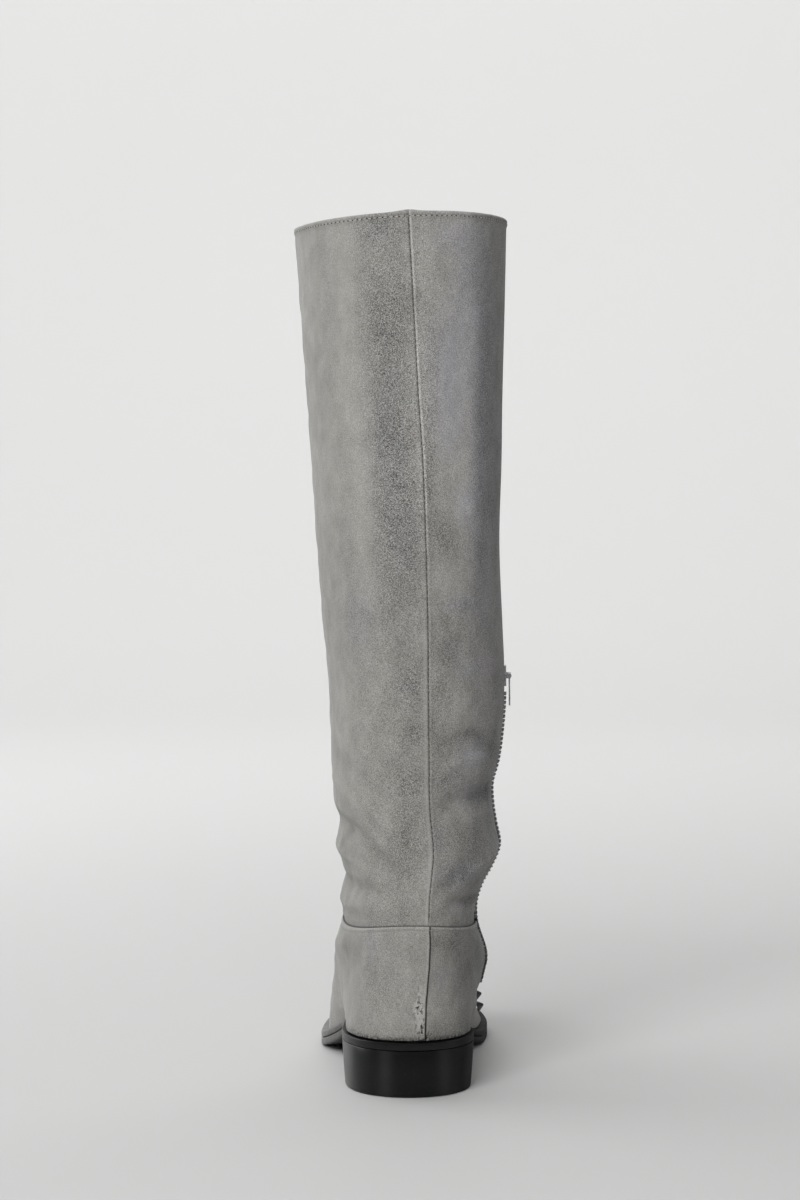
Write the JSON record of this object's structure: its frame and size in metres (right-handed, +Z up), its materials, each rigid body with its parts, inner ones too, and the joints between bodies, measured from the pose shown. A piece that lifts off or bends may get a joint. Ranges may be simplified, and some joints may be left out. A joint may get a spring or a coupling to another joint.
{
  "type": "suede boot",
  "caption": "Tall suede riding boot for the left foot, with a low block heel, welted sole, medial half zip and studded vamp; stands on its sole and is open at the collar.",
  "frame": {"origin": "middle of the heel's bottom face, on the floor", "axes": "+Z up, +Y from heel to toe, +X towards the medial side"},
  "size_m": [0.1088, 0.2786, 0.4308],
  "materials": {
    "suede": "brushed grey suede with a soft nap",
    "polished_sole": "black, waxed and polished edge",
    "polished_heel": "black, polished",
    "lining_leather": "smooth natural lining leather",
    "zip_cloth": "black woven tape",
    "zip_metal": "dark gunmetal",
    "stud_metal": "dark gunmetal"
  },
  "bodies": {
    "boot": {"heel": "polished_heel", "outsole": "polished_sole", "welt": "polished_sole", "insole": "lining_leather", "upper": "suede", "shaft": "suede", "zip_tape": "zip_cloth", "zip_chain": "zip_metal", "zip_slider": "zip_metal", "vamp_stud_1": "stud_metal", "vamp_stud_2": "stud_metal", "vamp_stud_3": "stud_metal", "vamp_stud_4": "stud_metal", "vamp_stud_5": "stud_metal", "vamp_stud_6": "stud_metal", "vamp_stud_7": "stud_metal", "vamp_stud_8": "stud_metal", "vamp_stud_9": "stud_metal"},
    "pull": {"zip_pull": "zip_metal"}
  },
  "joints": [
    {"name": "pull_swing", "type": "hinge", "parent": "boot", "child": "pull", "pos_m": [0.05111, 0.02348, 0.20279], "axis": [-0.0604, -0.9972, -0.0439], "range_deg": [0, 170]}
  ]
}
